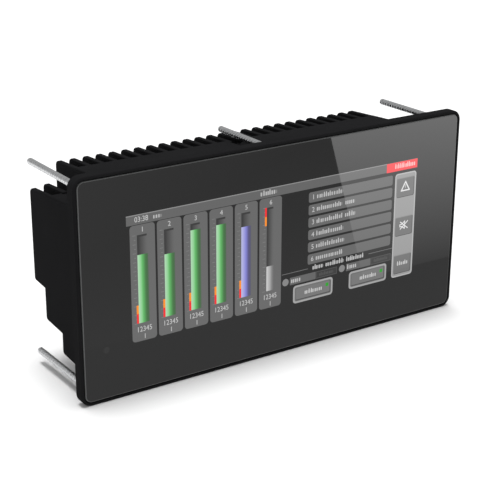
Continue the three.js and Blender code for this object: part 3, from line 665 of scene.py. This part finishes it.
full_half = fin_centre(FULL_FINS - 1) + FIN_T / 2
end_half = fin_centre(FULL_FINS - 1 + SHORT_FINS) + FIN_T / 2
body_rear = STEPS[0][0] - REACH


def shape_of(draw, *sizes):
    """A bare object for a boolean, drawn by one of the add functions."""
    bm = bmesh.new()
    draw(bm, *sizes)
    return finished(bm, "tool", None)


housing = shape_of(add_prism, body_outline(TOP), SKIN - full_half, full_half - SKIN)
carved(housing, shape_of(add_prism, body_outline(OUTER_TOP), SKIN - end_half, end_half - SKIN), "UNION")
flange_low, flange_high = under_at(2, FLANGE_REAR) + 0.3, top_at(TOP, FLANGE_REAR) - 0.3
carved(housing, shape_of(
    add_box, -FLANGE_HALF, FLANGE_HALF, FRONT, FLANGE_REAR, flange_low, flange_high,
), "UNION")
carved(housing, shape_of(add_box, -FIELD_HALF, FIELD_HALF, 8, FIELD_REAR, FIELD_BOTTOM, FIELD_TOP), "UNION")
bevelled(housing, 0.8, segments=3)

hollow = shape_of(add_prism, body_outline(TOP, WALL), -full_half + WALL, full_half - WALL)
carved(hollow, shape_of(add_prism, body_outline(OUTER_TOP, WALL), -end_half + WALL, end_half - WALL), "UNION")
half = FIELD_HALF - WALL
cavity_rear, passage_rear = FIELD_REAR - WALL, STEPS[1][0] - REACH - WALL - 0.1
carved(hollow, shape_of(add_box, -half, half, 0, cavity_rear, FIELD_BOTTOM + WALL, FIELD_TOP - WALL), "UNION")
half -= 0.1
carved(hollow, shape_of(add_box, -half, half, 0, passage_rear, FIELD_TOP - WALL - 1, FIELD_TOP + 6), "UNION")
carved(hollow, shape_of(add_box, -112, 112, 0, 6, -46.7, 46.7), "UNION")
carved(hollow, shape_of(add_bar_y, 9.5, 0, STUD_Z, 0.1, body_rear + 1))
carved(housing, hollow)
carved(housing, shape_of(add_bar_y, 6.5, 0, STUD_Z, -1, 71))

# Sockets of the connector field: centre, width and depth of each opening.
SOCKETS = [
    (-64, 17, 9), (-43, 17, 9), (-19, 14, 9), (7, 14, 9), (29, 16, 13.4), (48, 16, 13.4), (67, 14.4, 7),
]
bm = bmesh.new()
for x, width, depth in SOCKETS:
    half = width / 2 + 0.3
    near, far = CONNECTOR_REAR - depth - 0.3, CONNECTOR_REAR + 0.3
    add_box(bm, x - half, x + half, near, far, FIELD_BOTTOM - 2, FIELD_BOTTOM + 4)
add_box(bm, -9.2, -2.8, 22.1, 25.3, FIELD_BOTTOM - 2, FIELD_BOTTOM + 4)
add_bar_y(bm, 3.5, -58, -45.5, 31, 38)
add_bar_y(bm, 2.3, 58, -45.5, 29, 38)
settled(carved(housing, finished(bm, "openings", None)))
housing.name = "housing_body"
housing.data.materials.clear()
housing.data.materials.append(powder)
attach(housing, "panel")
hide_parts("rear_housing")


def arc(cy, cz, radius, start, end, steps=8):
    """Points of an arc in the side view, angles in degrees from +Y towards +Z."""
    angles = [math.radians(start + (end - start) * i / steps) for i in range(steps + 1)]
    return [(cy + radius * math.cos(a), cz + radius * math.sin(a)) for a in angles]


def fin_outline(top):
    """Side outline of one fin: it follows the steps with rounded corners and is rooted in the body's wall."""
    tip = STEPS[0][0]
    outline = [(body_rear - ROOT, top_at(top, body_rear - ROOT) - 2 * SKIN)]
    outline += arc(tip - TIP_R, top_at(top, tip) - TIP_R, TIP_R, 90, 0)
    for step, (depth, under) in enumerate(STEPS):
        outline += arc(depth - CORNER_R, under + CORNER_R, CORNER_R, 0, -90, 5)
        if step + 1 < len(STEPS):
            outline.append((STEPS[step + 1][0], under_at(step, STEPS[step + 1][0])))
    root = body_outline(top)[2:]
    root = [(y - ROOT, z + ROOT) for y, z in root[:-1]]
    outline.append((root[-1][0], under_at(2, root[-1][0]) + 2 * SKIN))
    return outline + root[::-1]


def end_outline(top):
    """The same outline for a fin that also forms the flat side of the housing, down to the flange."""
    near = FRONT + 0.3
    outer = fin_outline(top)
    last = len(outer) - len(body_outline(top)[2:-1]) - 1
    return [(near, top_at(top, near))] + outer[1:last] + [(near, under_at(2, near))]


fin_tree = bpy.data.node_groups.new("fin_row", "GeometryNodeTree")
for name, kind in (("Fin", "NodeSocketObject"), ("Count", "NodeSocketInt"), ("Pitch", "NodeSocketFloat"),
                   ("First", "NodeSocketFloat"), ("Finish", "NodeSocketMaterial")):
    fin_tree.interface.new_socket(name, in_out="INPUT", socket_type=kind)
fin_tree.interface.new_socket("Geometry", in_out="OUTPUT", socket_type="NodeSocketGeometry")
given = add(fin_tree, "NodeGroupInput").outputs
fin_source = add(fin_tree, "GeometryNodeObjectInfo", {"Object": given["Fin"]})
start = add(fin_tree, "ShaderNodeCombineXYZ", {"X": given["First"]})
spacing = add(fin_tree, "ShaderNodeCombineXYZ", {"X": given["Pitch"]})
row = add(fin_tree, "GeometryNodeMeshLine", {
    "Count": given["Count"], "Start Location": start.outputs["Vector"], "Offset": spacing.outputs["Vector"],
}, mode="OFFSET")
copies = add(fin_tree, "GeometryNodeInstanceOnPoints", {
    "Points": row.outputs["Mesh"], "Instance": fin_source.outputs["Geometry"],
})
real = add(fin_tree, "GeometryNodeRealizeInstances", {"Geometry": copies.outputs["Instances"]})
coated = add(fin_tree, "GeometryNodeSetMaterial", {
    "Geometry": real.outputs["Geometry"], "Material": given["Finish"],
})
add(fin_tree, "NodeGroupOutput", {"Geometry": coated.outputs["Geometry"]})


def grown(name, tree, values, mesh=None, angle=32):
    """The plain mesh that a Geometry Nodes tree makes, with its inputs set by name."""
    thing = new_object(name, mesh or bpy.data.meshes.new(name))
    maker = thing.modifiers.new("maker", "NODES")
    maker.node_group = tree
    for item in tree.interface.items_tree:
        if item.in_out == "INPUT" and item.name in values:
            maker[item.identifier] = values[item.name]
    return baked(thing, angle)


for name, outline, count, first, apart in (
    ("fins_full", fin_outline(TOP), FULL_FINS - 2, 1, 1),
    ("fins_full_ends", end_outline(TOP), 2, 0, FULL_FINS - 1),
    ("fins_short_inner", fin_outline(INNER_TOP), 2, -1, FULL_FINS + 1),
    ("fins_short_outer", end_outline(OUTER_TOP), 2, -SHORT_FINS, FULL_FINS + 2 * SHORT_FINS - 1),
):
    one_fin = bevelled(shape_of(add_prism, outline, -FIN_T / 2, FIN_T / 2), 0.7, segments=3, angle=50)
    fins = grown(name, fin_tree, {
        "Fin": one_fin, "Count": count, "Pitch": apart * PITCH * MM, "First": fin_centre(first) * MM,
        "Finish": powder,
    })
    bpy.data.objects.remove(one_fin)
    if name == "fins_full":
        half = FIELD_HALF - 0.4
        carved(fins, shape_of(add_box, -half, half, 0, FIELD_REAR - 0.4, FIELD_BOTTOM - 4, FIELD_TOP - 0.4))
    settled(fins)
    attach(fins, "panel")
    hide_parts("rear_housing")

# ---------- mounting studs ----------
# Six M4 studs of bright zinc-plated steel, pressed into the frame from the front, so that their heads lie
# under the glass. The rolled thread runs the whole length behind the frame.

STUD_TIP, THREAD_PITCH, MAJOR_R, CORE_R = 61.2, 0.7, 2.0, 1.62
CORE_EXTRA = 1.2  # the core stands out past both ends of the thread by half of this
HEAD_R, HEAD_H, HEAD_DEPTH = 3.5, 1.1, 3.15
SHANK_R, SHANK_H, SHANK_DEPTH = 1.95, 3.4, 1.2

zinc = finish("bright_zinc_plate", "#cfd0d1", (0.22, 0.34), 0.15, 0.002, spread=0.06, Metallic=1.0)

stud_tree = bpy.data.node_groups.new("threaded_studs", "GeometryNodeTree")
stud_tree.interface.new_socket("Places", in_out="INPUT", socket_type="NodeSocketGeometry")
for name in ("Length", "Pitch", "Core Radius", "Ridge"):
    stud_tree.interface.new_socket(name, in_out="INPUT", socket_type="NodeSocketFloat")
stud_tree.interface.new_socket("Finish", in_out="INPUT", socket_type="NodeSocketMaterial")
stud_tree.interface.new_socket("Geometry", in_out="OUTPUT", socket_type="NodeSocketGeometry")
given = add(stud_tree, "NodeGroupInput").outputs
turns = add(stud_tree, "ShaderNodeMath", {0: given["Length"], 1: given["Pitch"]}, operation="DIVIDE")
helix = add(stud_tree, "GeometryNodeCurveSpiral", {
    "Resolution": 20, "Rotations": turns.outputs["Value"], "Start Radius": given["Core Radius"],
    "End Radius": given["Core Radius"], "Height": given["Length"],
})
ridge = add(stud_tree, "GeometryNodeCurvePrimitiveCircle", {"Resolution": 4, "Radius": given["Ridge"]})
thread = add(stud_tree, "GeometryNodeCurveToMesh", {
    "Curve": helix.outputs["Curve"], "Profile Curve": ridge.outputs["Curve"], "Fill Caps": True,
})
core_length = add(stud_tree, "ShaderNodeMath", {0: given["Length"], 1: CORE_EXTRA * MM}, operation="ADD")
core = add(stud_tree, "GeometryNodeMeshCylinder", {
    "Vertices": 24, "Radius": given["Core Radius"], "Depth": core_length.outputs["Value"],
})
half = add(stud_tree, "ShaderNodeMath", {0: given["Length"], 1: 2.0}, operation="DIVIDE")
middle = add(stud_tree, "ShaderNodeCombineXYZ", {"Z": half.outputs["Value"]})
core_up = add(stud_tree, "GeometryNodeTransform", {
    "Geometry": core.outputs["Mesh"], "Translation": middle.outputs["Vector"],
})
head = add(stud_tree, "GeometryNodeMeshCylinder", {
    "Vertices": 32, "Radius": HEAD_R * MM, "Depth": HEAD_H * MM,
})
head_down = add(stud_tree, "GeometryNodeTransform", {
    "Geometry": head.outputs["Mesh"], "Translation": (0, 0, -HEAD_DEPTH * MM),
})
shank = add(stud_tree, "GeometryNodeMeshCylinder", {
    "Vertices": 24, "Radius": SHANK_R * MM, "Depth": SHANK_H * MM,
})
shank_down = add(stud_tree, "GeometryNodeTransform", {
    "Geometry": shank.outputs["Mesh"], "Translation": (0, 0, -SHANK_DEPTH * MM),
})
stud = add(stud_tree, "GeometryNodeJoinGeometry")
for part in (thread.outputs["Mesh"], core_up.outputs["Geometry"], head_down.outputs["Geometry"],
             shank_down.outputs["Geometry"]):
    stud_tree.links.new(part, stud.inputs["Geometry"])
copies = add(stud_tree, "GeometryNodeInstanceOnPoints", {
    "Points": given["Places"], "Instance": stud.outputs["Geometry"], "Rotation": (-math.pi / 2, 0, 0),
})
real = add(stud_tree, "GeometryNodeRealizeInstances", {"Geometry": copies.outputs["Instances"]})
plated = add(stud_tree, "GeometryNodeSetMaterial", {
    "Geometry": real.outputs["Geometry"], "Material": given["Finish"],
})
add(stud_tree, "NodeGroupOutput", {"Geometry": plated.outputs["Geometry"]})

place_mesh = bpy.data.meshes.new("stud_places")
place_mesh.from_pydata([(x * MM, 0, z * MM) for x, z in stud_places], [], [])
studs = grown("threaded_mounting_studs", stud_tree, {
    "Length": (STUD_TIP - CORE_EXTRA / 2) * MM, "Pitch": THREAD_PITCH * MM, "Core Radius": CORE_R * MM,
    "Ridge": (MAJOR_R - CORE_R) * MM, "Finish": zinc,
}, place_mesh, angle=50)
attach(studs, "panel")
columns = ("left", "middle", "right")
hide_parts(*[f"mounting_stud_{row}_{column}" for row in ("top", "bottom") for column in columns])

# ---------- carried-over pieces ----------
# What shows outside besides is moulded, turned or bent: its machined shape gets rounded edges. What is shut
# in keeps that shape. Each piece has the finish of its real material.

rubber = finish("matt_moulded_rubber", "#131313", (0.75, 0.9), 0.3, 0.01)
black_plastic = finish("black_moulded_polyamide", "#1a1a1b", (0.45, 0.6), 0.3, 0.01)
SLOT_FINISHES = {
    "zinc_steel": zinc,
    "anodised_black": anodised,
    "black_rubber": rubber,
    "cover_glass": black_glass,
    "foam_tape": finish("black_foam_tape", "#101010", (0.85, 0.95), 0.4, 0.02),
    "sensor_film": finish("laminated_sensor_film", "#6f7f86", (0.1, 0.2), 2.0, 0.001),
    "lcd_glass": finish("polished_display_glass", "#2a3136", (0.05, 0.1), 5.0, 0.001),
    "white_plastic": finish("white_moulded_polycarbonate", "#e4e4de", (0.4, 0.5), 0.4, 0.005),
    "sheet_steel": finish("rolled_nickel_plated_sheet", "#b4b6b8", (0.25, 0.4), 0.3, 0.002, Metallic=1.0),
    "clear_plastic": finish("clear_sensor_lens", "#8a8f92", (0.05, 0.12), 1.0, 0.001),
    "cast_black": powder,
    "black_steel": finish("black_oxide_steel", "#2a2b2d", (0.35, 0.5), 0.2, 0.002, Metallic=1.0),
    "board_green": finish("green_solder_mask", "#1f5c3a", (0.3, 0.45), 0.6, 0.01),
    "black_plastic": black_plastic,
    "pad_pink": finish("silicone_gap_pad", "#c08a90", (0.7, 0.85), 0.5, 0.02),
    "flat_cable": finish("polyester_ribbon", "#d8d2bd", (0.35, 0.5), 0.8, 0.004),
    "green_plastic": finish("green_moulded_polyamide", "#3f8f4f", (0.4, 0.55), 0.3, 0.01),
    "red_plastic": finish("red_moulded_plastic", "#b03428", (0.35, 0.5), 0.3, 0.008),
}


def softened(node, width, angle=30):
    """A copy of a machined piece with its edges rounded as moulding and turning leave them."""
    copy = new_object("rounded_" + node, nodes[node].data.copy())
    bm = bmesh.new()
    bm.from_mesh(copy.data)
    bmesh.ops.remove_doubles(bm, verts=bm.verts, dist=0.002 * MM)
    bmesh.ops.dissolve_limit(bm, angle_limit=math.radians(2), verts=bm.verts, edges=bm.edges)
    bm.to_mesh(copy.data)
    bm.free()
    return settled(bevelled(copy, width, segments=2, angle=angle))


# Radius of the edges in mm, for each piece that shows outside.
ROUNDED = {
    "panel_gasket": 0.2,
    "power_header": 0.25, "alarm_header": 0.25, "bus_header_1": 0.25, "bus_header_2": 0.25,
    "network_jack_1": 0.2, "network_jack_2": 0.2, "usb_socket": 0.15, "usb_cover": 0.4, "usb_hinge_pin": 0.15,
    "usb_hinge_lug_left": 0.25, "usb_hinge_lug_right": 0.25, "reset_button": 0.3, "termination_slider": 0.2,
    "pressure_vent": 0.3, "earth_screw": 0.25,
}
moving = {"usb_cover": "usb_door", "reset_button": "reset_key", "termination_slider": "termination_key"}
for subpart in frame["record"]["subparts"]:
    node, slot = subpart["node"], subpart["material_slot"]
    if node in ROUNDED:
        rounded = softened(node, ROUNDED[node])
        rounded.data.materials.clear()
        rounded.data.materials.append(SLOT_FINISHES[slot])
        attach(rounded, moving.get(node, "panel"))
        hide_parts(node)
for subpart in frame["record"]["subparts"]:
    mesh = nodes[subpart["node"]].data
    mesh.materials.clear()
    mesh.materials.append(SLOT_FINISHES[subpart["material_slot"]])
